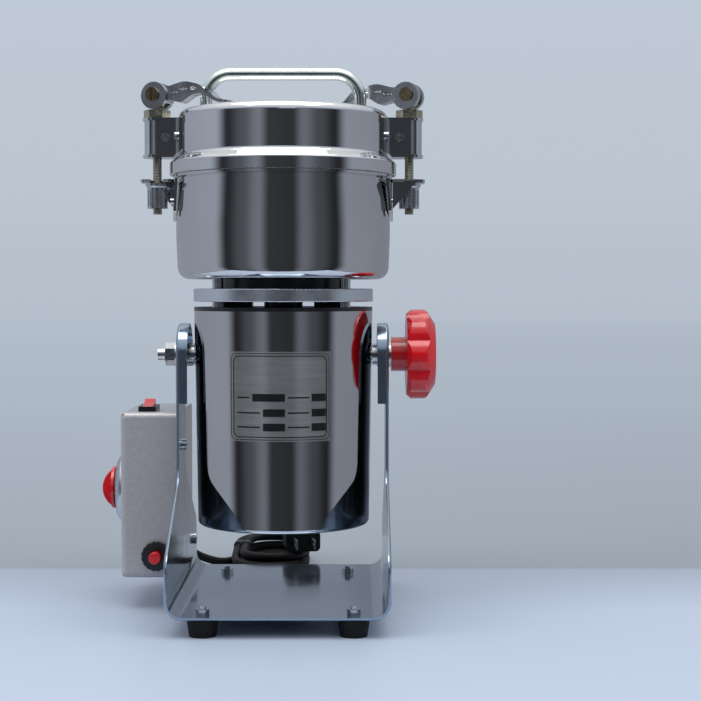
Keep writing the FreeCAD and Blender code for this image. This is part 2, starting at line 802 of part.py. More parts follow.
def make_tilt_knob():
    """Plum-shaped clamp knob with eight lobes and a round hub."""
    hub = cylinder(11.0, knob_out - 8 - hub_in, (hub_in, 0, pivot_high), "x")
    thick = knob_out - knob_in
    lobes = [cylinder(23.0, thick, (knob_in, 0, pivot_high), "x")]
    pitch = knob_r - knob_lobe_r
    for step in range(8):
        angle = math.radians(45 * step)
        y = pitch * math.cos(angle)
        z = pivot_high + pitch * math.sin(angle)
        lobes.append(cylinder(knob_lobe_r, thick, (knob_in, y, z), "x"))
    head = fuse(*lobes)
    rim = knob_r + 0.5
    points = [(0, 0), (rim - 3, 0), (rim, 3.5, 3), (rim, thick - 6, 6), (knob_r - 9, thick), (0, thick)]
    envelope = group(spun(points))
    place(envelope, (knob_in, 0, pivot_high), Rotation(Vector(0, 1, 0), 90))
    doc.recompute()
    rounded = common(head, envelope)
    bore = cylinder(bolt_eight + run_gap, size(93.5) - hub_in, (hub_in, 0, pivot_high), "x")
    finish("tilt_knob", cut(fuse(hub, rounded), bore))


# ---------------------------------------------------------------- spindle

def make_spindle():
    """Shaft with armature, commutator, fan and the three grinding blades."""
    thick = cylinder(6.0, 112.0, (0, 0, 72))
    thin = cylinder(shaft_r, 197.0, (0, 0, shell_low + shell_wall + 0.8))
    finish("motor_shaft", fuse(thin, thick))
    finish("armature_core", tube(28.4, 6.03, 50.0, (0, 0, 97)))
    windings = [tube(25.0, 6.03, 9.0, (0, 0, start)) for start in (88, 147)]
    commutator = tube(12.0, 6.03, 14.0, (0, 0, 72.5))
    finish("armature_copper", group(commutator, *windings))
    hub = cylinder(14.0, 12.0, (0, 0, 164))
    disc = cylinder(42.0, 1.6, (0, 0, 164))
    vanes = []
    for step in range(8):
        vane = block((12.0, -0.7, 165.6), (40.0, 0.7, 175.5))
        vanes.append(turned(vane, 45 * step))
    fan = cut(fuse(hub, disc, *vanes), cylinder(6.03, 12.0, (0, 0, 164)))
    finish("cooling_fan", fan)

    for name, start, turn, reach in (
        ("blade_lower", 222.0, 10, 57.0), ("blade_middle", 233.0, 70, 59.0), ("blade_upper", 244.0, 130, 55.0)
    ):
        points = [
            (-reach, -3), (-reach + 16, -9), (reach, -9), (reach, 3), (reach - 16, 9), (-reach, 9),
        ]
        blade = extruded("XY", points, 2.5, start, [((0, 0), shaft_r + run_gap)])
        finish(name, turned(blade, turn))
    spacers = [
        tube(8.5, shaft_r + run_gap, 8.5, (0, 0, start)) for start in (224.5, 235.5)
    ]
    spacers.append(tube(8.5, shaft_r + run_gap, 2.5, (0, 0, 219.5)))
    nut = fuse(hexagon(14.0, 8.0, (0, 0, 246.5)), cone(6.6, 3.0, 5.0, (0, 0, 254.5)))
    nut = cut(nut, cylinder(shaft_r + run_gap, 9.5, (0, 0, 246.5)))
    finish("blade_spacers_and_nut", group(*spacers, nut))


# ---------------------------------------------------------------- bowl and lid

def make_bowl():
    """Polished bowl, slightly bulged, with a rolled rim and a shaft hole."""
    wall = bowl_wall
    middle = (bowl_low + bowl_top) / 2
    points = [
        (6.0, bowl_low), (bowl_r_low, bowl_low, bowl_corner), (bowl_r_mid, middle, 120.0),
        (bowl_r_top, bowl_top - 1.6), (bowl_r_top + 3.2, bowl_top - 1.6), (bowl_r_top + 3.2, bowl_top),
        (bowl_r_top - wall, bowl_top), (bowl_r_mid - wall, middle, 120.0 - wall),
        (bowl_r_low - wall, bowl_low + wall, bowl_corner - wall), (6.0, bowl_low + wall),
    ]
    finish("bowl", spun(points))
    seal_low = bowl_low + wall
    seal_in = shaft_r + 0.4
    seal_top = seal_low + 2.6
    seal = spun([
        (seal_in, seal_low), (15, seal_low), (15, seal_low + 1.2), (9, seal_top, 1), (seal_in, seal_top),
    ])
    finish("shaft_seal", seal)


def make_hooks():
    """Two slotted hooks on the bowl; each slot opens the way the lid turns off."""
    back = bowl_r_mid + 0.15
    strap_out = back + 1.6
    ring = [(back, hook_top - 27), (strap_out, hook_top - 27), (strap_out, hook_top), (back, hook_top)]
    band = spun(ring)
    outline = [
        (-22, hook_top), (-14, hook_top - 21, 2), (-3, hook_top - 26.5, 2), (3, hook_top - 26.5, 2),
        (14, hook_top - 21, 2), (22, hook_top),
    ]
    shield = extruded("YZ", outline, hook_reach - 50, -hook_reach)
    strap_part = common(band, shield)
    plate_outline = [
        (-strap_out + 0.4, -13), (-strap_out + 0.4, 13), (-clamp_r - 3, 11, 3), (-hook_reach, 8, 3),
        (-hook_reach, -9, 3), (-strap_out - 2, -13, 2),
    ]
    plate = extruded("XY", plate_outline, 2.0, hook_top - 2)
    slot = block((-clamp_r - rod_r - 0.7, -20, hook_top - 3), (-clamp_r + rod_r + swing_gap, 0, hook_top + 1))
    slot_end = cylinder(rod_r + 0.7, 4.0, (-clamp_r, 0, hook_top - 3))
    root = -strap_out + 0.4
    gusset_outline = [(root, hook_top - 1), (-hook_reach + 5, hook_top - 1), (root, hook_top - 19)]
    gusset = extruded("XZ", gusset_outline, 2.0, -12.0)
    hook = cut(fuse(strap_part, plate, gusset), slot, slot_end)
    rivets = []
    for y in (-9.0, 9.0):
        rivets.append(cylinder(2.2, 2.4, (-strap_out - 1.0, y, hook_top - 14), "x"))
    bore = cylinder(strap_out + 0.02, 40.0, (0, 0, hook_top - 30))
    heads = [cut(rivet, bore) for rivet in rivets]
    side_set = group(hook, *heads)
    finish("bowl_hooks", group(side_set, turned(side_set, 180)))


def make_lid():
    """Pressed lid with a skirt over the bowl's rim and a soft seal inside it."""
    wall = lid_wall
    low = bowl_top + rest_gap
    points = [
        (skirt_r, low), (skirt_r, skirt_top, 1.5), (lid_r, skirt_top + 4.6, 2.5), (lid_r, lid_top, 5.5),
        (0, lid_top), (0, lid_top - wall), (lid_r - wall, lid_top - wall, 4.1),
        (lid_r - wall, skirt_top + 3.0, 2.0), (skirt_r - wall, skirt_top - wall, 1.0), (skirt_r - wall, low),
    ]
    body = spun(points)
    holes = [((-handle_x, 0), handle_r + run_gap), ((handle_x, 0), handle_r + run_gap)]
    pocket(body, new_sketch(body, "XY", circles=holes, offset=lid_top), wall * 4)
    finish("lid_shell", body)
    seal_out = skirt_r - wall - 0.1
    seal = spun([(62, low), (seal_out, low), (seal_out, low + 5), (66, low + 5, 1), (62, low + 2.4)])
    finish("lid_seal", seal)


def make_handle():
    """Bent rod handle with a nut on each end under the lid's top."""
    low = lid_top.value - 8
    top = handle_top.value - handle_r.value
    reach = handle_x.value
    bend = handle_bend.value
    diagonal = bend * math.sin(math.radians(45))
    first = Vector(-reach, 0, low)
    up = Vector(-reach, 0, top - bend)
    arc_middle = Vector(-reach + bend - diagonal, 0, top - bend + diagonal)
    level = Vector(-reach + bend, 0, top)
    mirror = [Vector(-p.x, 0, p.z) for p in (level, arc_middle, up, first)]
    edges = [
        Part.LineSegment(first, up).toShape(), Part.Arc(up, arc_middle, level).toShape(),
        Part.LineSegment(level, mirror[0]).toShape(), Part.Arc(*mirror[:3]).toShape(),
        Part.LineSegment(mirror[2], mirror[3]).toShape(),
    ]
    section = Part.Wire(Part.makeCircle(handle_r.value, first, Vector(0, 0, 1)))
    finish("lid_handle", feature(Part.Wire(edges).makePipeShell([section], True, False)))
    inner = lid_top - lid_wall
    nuts = []
    for x in (-handle_x, handle_x):
        nut = hexagon(13.0, 5.0, (x, 0, inner - 5))
        nuts.append(cut(nut, cylinder(handle_r + run_gap, 5.0, (x, 0, inner - 5))))
    return nuts


# ---------------------------------------------------------------- clamps

def bracket_outline(root, half_width):
    """Seen from above: two straight sides out from the lid and a round end about the rod."""
    end = -clamp_r - half_width
    corner = half_width - 0.1
    return [
        (root, -half_width), (root, half_width), (-clamp_r, half_width),
        (end, half_width, corner), (end, -half_width, corner), (-clamp_r, -half_width),
    ]


def make_clamp_brackets(handle_nuts):
    """Bent sheet bracket on each side of the lid, round the clamp rod, and the lid's fasteners."""
    low, top = bracket_low, bracket_top
    wall_r = lid_r + 0.15
    outer = bracket_outline(-wall_r + 4, bracket_r)
    height = top - low - strap * 2
    ring = extruded("XY", outer, height, low + strap)
    inside = bracket_r - strap
    inner = bracket_outline(-wall_r + 6, inside)
    hollow = extruded("XY", inner, height + 2, low + strap - 1)
    shoulder = cone(skirt_r + 0.6, wall_r, 7.6, (0, 0, skirt_top))
    lid_space = fuse(cylinder(wall_r, 40.0, (0, 0, low - 2)), shoulder)
    loop = cut(ring, hollow, lid_space)
    plates = []
    for start in (low, top - strap):
        half, end = bracket_r + 0.7, -clamp_r - bracket_r - 0.7
        outline = [
            (-wall_r + 4, -half), (-wall_r + 4, half), (-clamp_r - 4, half, 5),
            (end, 5, 4), (end, -5, 4), (-clamp_r - 4, -half, 5),
        ]
        plate = extruded("XY", outline, strap, start, [((-clamp_r, 0), rod_r + 0.5)])
        plates.append(cut(plate, lid_space))
    band = tube(wall_r + 1.6, wall_r, height, (0, 0, low + strap))
    keep = block((-80, -25, low), (-40, 25, top))
    tabs = common(band, keep)
    bracket = cut(fuse(loop, tabs, *plates), shoulder)
    finish("clamp_brackets", group(bracket, turned(bracket, 180)))

    ear = clamp_r - 6.5
    mid = (low + top) / 2
    screws = []
    for side in (-1, 1):
        face = bracket_r * side
        near = face if side > 0 else face - 2.0
        slot_near = near + side
        head = cylinder(2.9, 2.0, (-ear, near, mid), "y")
        slot = block((-ear - 2.0, slot_near, mid - 0.4), (-ear + 2.0, slot_near + 2, mid + 0.4))
        screws.append(cut(head, slot))
    for side in (-1, 1):
        angle = 16.5 * side
        head = cylinder(2.4, 2.0, (-wall_r - 3.4, 0, mid), "x")
        trim = cylinder(wall_r + 1.62, 10.0, (0, 0, mid - 5))
        screws.append(turned(cut(head, trim), angle))
    side_set = group(*screws)
    finish("lid_fasteners", group(side_set, turned(side_set, 180), *handle_nuts))

    seat = cut(
        hexagon(15.0, seat_top - bracket_top, (-clamp_r, 0, bracket_top)),
        cylinder(rod_r + 0.4, 10.0, (-clamp_r, 0, bracket_top - 1)),
    )
    finish("clamp_seats", group(seat, turned(seat, 180)))


LEVER_TURN = -19.0
CHEEK = 3.6
FORK_GAP = 6.4


def make_clamp(side, turn):
    """Swing rod with knurled nut, cam lever and its pivot screw, on one side of the lid."""
    high = lever_pivot
    rod = cylinder(rod_r, high - 3 - rod_low, (0, 0, rod_low))
    eye = cylinder(4.6, 6.0, (0, -3.0, high), "y")
    hole = cylinder(size(2.5) + run_gap, 8.0, (0, -4.0, high), "y")
    rod = cut(fuse(rod, eye), hole)
    put_clamp(side + "_clamp_rod", rod, turn)

    flare = nut_top - 2.6
    body = fuse(
        cylinder(nut_r, flare - nut_low, (0, 0, nut_low)),
        cone(nut_r, nut_r + 1.0, 1.0, (0, 0, flare)),
        cylinder(nut_r + 1.0, 1.6, (0, 0, flare + 1.0)),
    )
    flutes = []
    for step in range(20):
        angle = math.radians(18 * step)
        spot = ((nut_r + 0.25) * math.cos(angle), (nut_r + 0.25) * math.sin(angle), nut_low + 1.5)
        flutes.append(cylinder(0.55, 10.0, spot))
    nut = cut(body, fuse(*flutes), cylinder(rod_r + run_gap, 20.0, (0, 0, nut_low - 1)))
    put_clamp(side + "_clamp_nut", nut, turn)

    put_clamp(side + "_clamp_lever", lever_shape(), turn)
    half = FORK_GAP / 2 + CHEEK
    pin = cylinder(2.5, half * 2, (0, -half, high), "y")
    heads = [cylinder(4.4, 1.6, (0, -half - 1.6, high), "y"), cylinder(4.4, 1.6, (0, half, high), "y")]
    slot = block((-0.6, -half - 2, high - 5), (0.6, -half - 0.8, high + 5))
    put_clamp(side + "_lever_screw", cut(fuse(pin, *heads), slot), turn)


def put_clamp(label, item, turn):
    """Carry a clamp part from the clamp's own axis to its side of the lid."""
    swung = group(item)
    swung.Placement = FreeCAD.Placement(Vector(), Rotation(Vector(0, 0, 1), LEVER_TURN))
    moved = place(group(swung), (-clamp_r, 0, 0))
    finish(label, turned(moved, turn))


def lever_shape():
    """Cam lever: two round cheeks off the pin's centre, a deep neck and a thin swept tip."""
    high = lever_pivot
    lean = math.radians(-55)
    cam_x = cam_offset * math.cos(lean)
    cam_z = cam_offset * math.sin(lean)
    width = FORK_GAP / 2 + CHEEK
    head = cylinder(lever_head, width * 2, (cam_x, -width, high + cam_z), "y")
    neck_points = [
        (4, high + 6.5), (9, high + 4.6, 8), (21, high + 7.9, 14), (31, high + 5.6, 12),
        (43.5, high - 4.2, 9), (54, high - 6.0), (54, high - 7.6), (43, high - 6.2, 8),
        (34, high - 0.2, 8), (27, high - 0.8, 10), (19, high - 5.9, 5), (9, high - 3.4, 6), (4, high - 6.5),
    ]
    neck = extruded("XZ", neck_points, 9.0, 0, both_sides=True)
    wide_points = [
        (37, high + 3), (43.5, high - 4.2, 9), (54, high - 6.0), (54, high - 7.6),
        (43, high - 6.2, 8), (36, high + 0.6),
    ]
    wide = extruded("XZ", wide_points, 13.0, 0, both_sides=True)
    plan = [(30, -5.5), (38, -6.5, 6), (54.5, -6.5, 6), (54.5, 6.5, 6), (38, 6.5, 6), (30, 5.5)]
    tip = common(wide, extruded("XY", plan, 40.0, high - 20))
    slab = fuse(head, neck, tip)
    fork = block((-12, -FORK_GAP / 2, high - 12), (8.0, FORK_GAP / 2, high + 12))
    bore = cylinder(size(2.5) + run_gap, 20.0, (0, -10, high), "y")
    dents = []
    for x, z, length, tall in ((13.5, 0.8, 3.4, 2.2), (20.5, 2.6, 2.9, 1.6), (27.5, 2.9, 2.3, 1.1)):
        for face in (-1, 1):
            dent = doc.addObject("Part::Ellipsoid", "Dent")
            dent.Radius1 = tall
            dent.Radius2 = length
            dent.Radius3 = 1.3
            dent.Angle1 = -90
            dent.Angle2 = 90
            dents.append(place(dent, (x, 4.5 * face, high + z), Rotation(Vector(1, 0, 0), 90)))
    return cut(slab, fork, bore, *dents)


# ---------------------------------------------------------------- mains cord

PLUG_TURN = 8.0


def cord_path(points):
    """Straight runs joined by tangent arcs as large as the two runs beside each point allow."""
    edges = []
    here = points[0]
    for before, corner, after in zip(points, points[1:], points[2:]):
        run_in, run_out = corner - before, after - corner
        half = run_in.getAngle(run_out) / 2
        reach = 0.45 * min(run_in.Length, run_out.Length)
        radius = reach / math.tan(half)
        start = corner - run_in.normalize() * reach
        end = corner + run_out.normalize() * reach
        to_centre = (end - corner + start - corner).normalize()
        middle = corner + to_centre * (radius / math.cos(half) - radius)
        edges.append(Part.LineSegment(here, start).toShape())
        edges.append(Part.Arc(start, middle, end).toShape())
        print("cord arc radius", round(radius, 1), "turn", round(math.degrees(half * 2), 1))
        here = end
    edges.append(Part.LineSegment(here, points[-1]).toShape())
    return Part.Wire(edges)


def cord_tube(label, points):
    """A plain tube along a cord path, its volume compared with section times length."""
    path = cord_path(points)
    radius = cord_r.value
    section = Part.Wire(Part.makeCircle(radius, points[0], points[1] - points[0]))
    solid = path.makePipeShell([section], True, False)
    expected = math.pi * radius * radius * path.Length
    print(label, "length", round(path.Length, 1), "volume share", round(solid.Volume / expected, 4))
    finish(label, feature(solid))


def stadium(half_width):
    """Outline of the hank: two straights along Y joined by half circles."""
    tall = hank_straight + half_width
    low, high = hank_y - tall, hank_y + tall
    left, right = hank_x - half_width, hank_x + half_width
    round_corner = half_width - 0.05
    return [
        (left, low, round_corner), (right, low, round_corner),
        (right, high, round_corner), (left, high, round_corner),
    ]


def make_cord():
    """Mains cord from the box to a tied oval hank behind the base, and the plug resting on the hank."""
    low = cord_r.value
    middle = (hank_out.value + hank_in.value) / 2
    x, y = hank_x.value, hank_y.value
    left = x - middle - low
    exit_x, exit_y, exit_z = cord_exit_x.value, box_rear.value + 22.0, cord_exit_high.value
    cord_tube("mains_cord", [
        Vector(exit_x, exit_y, exit_z), Vector(exit_x, exit_y + 20, exit_z - 0.5),
        Vector(left - 35, y - 8, low + 9), Vector(left - 14, y - 1, low),
        Vector(left - 0.5, y + 17, low), Vector(left, y + 32, low),
    ])

    ring = extruded("XY", stadium(hank_out), hank_high, 0)
    hole = extruded("XY", stadium(hank_in), hank_high + 2, -1)
    finish("mains_cord_coil", cut(ring, hole))

    top = hank_high.value
    right = x + middle - low
    rear = Vector(right + 0.6, y, top + 7.6)
    turn = math.radians(PLUG_TURN)
    behind = rear + Vector(-math.sin(turn), math.cos(turn), 0) * 14
    cord_tube("mains_cord_tail", [Vector(right, y + 30, top + 2.5), behind, rear])
    make_plug(rear)


def make_plug(rear):
    """Moulded two-pin plug with flat holed blades, turned to lie across the hank."""
    relief = cone(6.0, 3.6, 14.0, (0, -14, 0), "y")
    body = block((-12.5, -40, -7.5), (12.5, -14, 7.5))
    doc.recompute()
    shaped = round_rim(body, 3.5, lambda edge: abs(edge.tangentAt(edge.FirstParameter).y) > 0.9)
    blades = []
    for centre in (-6.4, 6.4):
        blade = block((centre - 0.75, -58, -3.1), (centre + 0.75, -40, 3.1))
        hole = cylinder(1.5, 4.0, (centre - 2, -54, 0), "x")
        blades.append(cut(blade, hole))
    turn = Rotation(Vector(0, 0, 1), PLUG_TURN)
    finish("plug_body", group(place(group(fuse(shaped, relief)), rear, turn)))
    finish("plug_blades", group(place(group(*blades), rear, turn)))


# ---------------------------------------------------------------- build, check and export

make_base_frame()
make_feet()
make_control_box()
make_switch()
make_breaker()
make_timer()
make_inlet()
make_motor_shell()
make_motor_inside()
make_mounting()
make_pivots()
make_label()
make_tilt_knob()
make_spindle()
make_bowl()
make_hooks()
make_lid()
make_clamp_brackets(make_handle())
make_clamp("left", 0)
make_clamp("right", 180)
make_cord()
doc.recompute()

for item in doc.Objects:
    if "Invalid" in item.State or "Error" in item.State:
        raise RuntimeError(item.Name + " failed: " + str(item.State))

os.makedirs("parts", exist_ok=True)
for item in finished:
    shape = item.Shape
    if shape.isNull() or not shape.isValid():
        raise RuntimeError(item.Label + " has no valid shape")
    shape.exportStep("parts/" + item.Label + ".step")
    box = shape.optimalBoundingBox(False)
    corners = [round(number, 1) for number in (box.XMin, box.YMin, box.ZMin, box.XMax, box.YMax, box.ZMax)]
    print(item.Label, len(shape.Solids), "solids", corners)
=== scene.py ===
import math

import bmesh
import bpy
from mathutils import Matrix, Vector
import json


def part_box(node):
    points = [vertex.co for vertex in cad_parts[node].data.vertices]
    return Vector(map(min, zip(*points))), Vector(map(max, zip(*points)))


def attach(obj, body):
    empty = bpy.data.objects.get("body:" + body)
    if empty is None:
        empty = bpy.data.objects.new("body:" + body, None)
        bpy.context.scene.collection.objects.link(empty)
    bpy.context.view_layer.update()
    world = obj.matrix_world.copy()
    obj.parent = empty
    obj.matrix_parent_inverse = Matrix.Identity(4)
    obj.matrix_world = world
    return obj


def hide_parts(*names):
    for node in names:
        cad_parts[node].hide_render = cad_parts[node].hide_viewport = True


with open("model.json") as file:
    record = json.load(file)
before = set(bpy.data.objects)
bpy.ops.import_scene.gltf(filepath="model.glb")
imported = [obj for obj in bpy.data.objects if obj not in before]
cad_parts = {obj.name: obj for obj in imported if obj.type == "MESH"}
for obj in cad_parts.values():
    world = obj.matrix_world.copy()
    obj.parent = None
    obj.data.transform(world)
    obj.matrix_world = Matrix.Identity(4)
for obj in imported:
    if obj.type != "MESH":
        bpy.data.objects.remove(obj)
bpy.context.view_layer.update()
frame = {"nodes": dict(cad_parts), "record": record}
record = frame["record"]
scene = bpy.context.scene

SPINDLE_X = 0.01285
DIAL_CENTRE = (0, 0.036, 0.075)


# ---------------------------------------------------------------- camera

camera = bpy.data.objects.new("camera", bpy.data.cameras.new("camera"))
scene.collection.objects.link(camera)
camera.data.lens = 79.09
camera.data.sensor_width = 36.0
camera.location = (SPINDLE_X + 0.0435, -1.0, 0.2081)
camera.rotation_euler = (math.radians(87.75), 0.0, 0.0)
scene.camera = camera


# ---------------------------------------------------------------- material tools

def srgb(red, green, blue):
    """A colour given as 0 to 255 screen values, as linear light with alpha."""
    linear = []
    for value in (red, green, blue):
        share = value / 255
        linear.append(share / 12.92 if share <= 0.04045 else ((share + 0.055) / 1.055) ** 2.4)
    return (*linear, 1.0)


class Graph:
    """A cleared node tree, with short names for the nodes used here."""

    def __init__(self, tree):
        self.tree = tree
        self.tree.nodes.clear()

    def add(self, kind, **settings):
        node = self.tree.nodes.new(kind)
        for key, value in settings.items():
            setattr(node, key, value)
        return node

    def link(self, source, target):
        self.tree.links.new(source, target)

    def ramp(self, source, stops, interpolation="LINEAR"):
        node = self.add("ShaderNodeValToRGB")
        node.color_ramp.interpolation = interpolation
        elements = node.color_ramp.elements
        elements[0].position, elements[0].color = stops[0]
        elements[1].position, elements[1].color = stops[-1]
        for position, colour in stops[1:-1]:
            elements.new(position).color = colour
        self.link(source, node.inputs["Fac"])
        return node.outputs["Color"]

    def spread(self, source, low, high, start=0.0, end=1.0):
        """A value between start and end spread over low to high."""
        node = self.add("ShaderNodeMapRange")
        node.inputs["From Min"].default_value = start
        node.inputs["From Max"].default_value = end
        node.inputs["To Min"].default_value = low
        node.inputs["To Max"].default_value = high
        self.link(source, node.inputs["Value"])
        return node.outputs["Result"]

    def maths(self, operation, first, second):
        node = self.add("ShaderNodeMath", operation=operation)
        for socket, value in zip(node.inputs, (first, second)):
            if isinstance(value, float):
                socket.default_value = value
            else:
                self.link(value, socket)
        return node.outputs[0]

    def mixed(self, share, first, second):
        node = self.add("ShaderNodeMix", data_type="RGBA")
        self.link(share, node.inputs["Factor"])
        sockets = [socket for socket in node.inputs if socket.type == "RGBA"]
        for socket, value in zip(sockets, (first, second)):
            if isinstance(value, tuple):
                socket.default_value = value
            else:
                self.link(value, socket)
        return [socket for socket in node.outputs if socket.type == "RGBA"][0]


class Finish(Graph):
    """A principled material whose pattern comes from object coordinates in metres."""

    def __init__(self, name, roughness=0.4, metallic=0.0, **constants):
        self.material = bpy.data.materials.new(name)
        self.material.use_nodes = True
        super().__init__(self.material.node_tree)
        output = self.add("ShaderNodeOutputMaterial")
        self.shader = self.add("ShaderNodeBsdfPrincipled")
        self.link(self.shader.outputs[0], output.inputs[0])
        self.shader.inputs["Roughness"].default_value = roughness
        self.shader.inputs["Metallic"].default_value = metallic
        for key, value in constants.items():
            self.shader.inputs[key.replace("_", " ")].default_value = value
        self.place = self.add("ShaderNodeTexCoord").outputs["Object"]

    def noise(self, scale, detail=2.0, stretch=(1.0, 1.0, 1.0), rough=0.5):
        mapping = self.add("ShaderNodeMapping")
        mapping.inputs["Scale"].default_value = stretch
        self.link(self.place, mapping.inputs["Vector"])
        node = self.add("ShaderNodeTexNoise")
        node.inputs["Scale"].default_value = scale
        node.inputs["Detail"].default_value = detail
        node.inputs["Roughness"].default_value = rough
        self.link(mapping.outputs[0], node.inputs["Vector"])
        return node.outputs["Fac"]

    def cells(self, scale):
        node = self.add("ShaderNodeTexVoronoi", feature="SMOOTH_F1")
        node.inputs["Scale"].default_value = scale
        self.link(self.place, node.inputs["Vector"])
        return node.outputs["Distance"]

    def wave(self, axis, pitch):
        """Parallel ridges that repeat every pitch metres along one axis."""
        node = self.add("ShaderNodeTexWave", wave_type="BANDS", bands_direction=axis, wave_profile="SIN")
        node.inputs["Scale"].default_value = math.pi / 10 / pitch
        node.inputs["Distortion"].default_value = 0.0
        self.link(self.place, node.inputs["Vector"])
        return node.outputs["Fac"]

    def colour(self, source):
        self.link(source, self.shader.inputs["Base Color"])

    def rough(self, source):
        self.link(source, self.shader.inputs["Roughness"])

    def bumps(self, *layers):
        """Stacked bumps, each a height, a strength and a depth in metres."""
        below = None
        for height, strength, depth in layers:
            node = self.add("ShaderNodeBump")
            node.inputs["Strength"].default_value = strength
            node.inputs["Distance"].default_value = depth
            self.link(height, node.inputs["Height"])
            if below is not None:
                self.link(below, node.inputs["Normal"])
            below = node.outputs[0]
        self.link(below, self.shader.inputs["Normal"])


def tone(colour, factor):
    """The same colour, lighter or darker."""
    return (*[min(1.0, part * factor) for part in colour[:3]], 1.0)


def polished_steel(name, colour, low, high):
    """Mirror-polished stainless steel with faint lathe lines, wipe marks and a few specks."""
    made = Finish(name, metallic=1.0)
    cloud = made.noise(14.0, 4.0)
    made.colour(made.ramp(cloud, [(0.3, tone(colour, 0.94)), (0.7, tone(colour, 1.03))]))
    wiped = made.noise(38.0, 5.0, (1.0, 1.0, 0.35), 0.62)
    made.rough(made.spread(wiped, low, high, 0.3, 0.72))
    rings = made.noise(40.0, 2.0, (0.4, 0.4, 60.0))
    made.bumps((rings, 0.05, 0.00006), (made.noise(900.0, 2.0), 0.02, 0.00004))
    return made.material


def formed_steel(name, colour, low, high, grain):
    """Bright formed steel: polished bends with drawn lines and small dull patches."""
    made = Finish(name, metallic=1.0)
    cloud = made.noise(60.0, 4.0)
    made.colour(made.ramp(cloud, [(0.25, tone(colour, 0.86)), (0.6, colour), (0.8, tone(colour, 1.04))]))
    patches = made.noise(120.0, 3.0)
    made.rough(made.spread(patches, low, high, 0.3, 0.7))
    made.bumps((made.noise(grain, 2.0, (1.0, 1.0, 0.3)), 0.05, 0.00006))
    return made.material


def frame_paint():
    """Glossy silver-grey enamel on sheet steel, with fine flakes; painted shade darkens the inner faces of
    the arms.
    """
    made = Finish("frame_paint", metallic=0.9, Coat_Weight=0.2, Coat_Roughness=0.08)
    base = srgb(148, 164, 182)
    flakes = made.noise(2600.0, 1.0)
    cloud = made.noise(22.0, 4.0)
    shaded = made.ramp(cloud, [(0.3, tone(base, 0.90)), (0.7, tone(base, 1.06))])
    speckled = made.ramp(flakes, [(0.35, tone(base, 0.82)), (0.6, tone(base, 1.14))])
    share = made.spread(made.noise(300.0, 2.0), 0.15, 0.45)
    paint = made.mixed(share, shaded, speckled)
    split = made.add("ShaderNodeSeparateXYZ")
    made.link(made.place, split.inputs[0])
    facing = made.add("ShaderNodeSeparateXYZ")
    made.link(made.add("ShaderNodeTexCoord").outputs["Normal"], facing.inputs[0])
    # Painted shade: arm faces that look towards the motor, above the base, are mixed up to 80 percent
    # towards dark grey-green (38, 46, 48).
    beside = made.maths("SUBTRACT", split.outputs["X"], SPINDLE_X)
    outward = made.maths("MULTIPLY", facing.outputs["X"], beside)
    inside = made.spread(outward, 0.0, 1.0, -0.035, -0.06)
    raised = made.spread(split.outputs["Z"], 0.0, 1.0, 0.035, 0.075)
    painted_shade = made.maths("MULTIPLY", made.maths("MULTIPLY", inside, raised), 0.8)
    made.colour(made.mixed(painted_shade, paint, srgb(38, 46, 48)))
    made.rough(made.spread(made.noise(55.0, 5.0), 0.10, 0.19, 0.3, 0.7))
    made.bumps((made.noise(220.0, 2.0), 0.06, 0.00010))
    return made.material


def hammered_paint():
    """Hammer-finish silver paint: shallow round dimples with darker valleys."""
    made = Finish("box_paint", metallic=0.2, Coat_Weight=0.8, Coat_Roughness=0.14)
    base = srgb(172, 170, 171)
    dimples = made.cells(420.0)
    fine = made.noise(1500.0, 3.0)
    toned = made.ramp(dimples, [(0.05, tone(base, 0.86)), (0.5, tone(base, 1.02)), (0.9, tone(base, 1.15))])
    grainy = made.ramp(fine, [(0.3, tone(base, 0.80)), (0.7, tone(base, 1.12))])
    made.colour(made.mixed(made.spread(made.noise(240.0, 2.0), 0.3, 0.6), toned, grainy))
    made.rough(made.spread(fine, 0.30, 0.46))
    made.bumps((dimples, 0.35, 0.00025), (fine, 0.15, 0.00006))
    return made.material


def moulded(name, colour, roughness, grain, depth, coat=0.0, wear=1.25, shine=0.5):
    """Moulded plastic or rubber: an even skin with a fine grain and slightly paler rubbed areas."""
    made = Finish(name, Coat_Weight=coat, Coat_Roughness=0.08, Specular_IOR_Level=shine)
    cloud = made.noise(45.0, 4.0)
    made.colour(made.ramp(cloud, [(0.3, tone(colour, 0.86)), (0.62, colour), (0.82, tone(colour, wear))]))
    skin = made.noise(grain, 3.0)
    made.rough(made.spread(made.noise(110.0, 4.0), roughness * 0.85, roughness * 1.2, 0.3, 0.7))
    made.bumps((skin, 0.25, depth))
    return made.material


def ridged(name, colour, axis, pitch, depth, roughness):
    """Metal with regular ridges along one axis, such as a thread, laminations or windings."""
    made = Finish(name, metallic=1.0)
    ridges = made.wave(axis, pitch)
    cloud = made.noise(160.0, 4.0)
    crest = made.ramp(ridges, [(0.1, tone(colour, 0.45)), (0.6, colour), (0.95, tone(colour, 1.1))])
    stained = made.ramp(cloud, [(0.3, tone(colour, 0.7)), (0.7, colour)])
    made.colour(made.mixed(made.spread(cloud, 0.15, 0.5), crest, stained))
    made.rough(made.spread(cloud, roughness * 0.8, roughness * 1.3, 0.3, 0.7))
    made.bumps((ridges, 0.9, depth))
    return made.material


def plated(name, colour, tint, roughness):
    """Zinc-plated steel, with a passivated tint that comes and goes."""
    made = Finish(name, metallic=1.0)
    cloud = made.noise(210.0, 4.0)
    made.colour(made.ramp(cloud, [(0.25, tint), (0.5, colour), (0.8, tone(colour, 1.08))]))
    made.rough(made.spread(made.noise(500.0, 4.0), roughness * 0.75, roughness * 1.3, 0.3, 0.7))
    made.bumps((made.noise(1400.0, 3.0), 0.15, 0.00004))
    return made.material


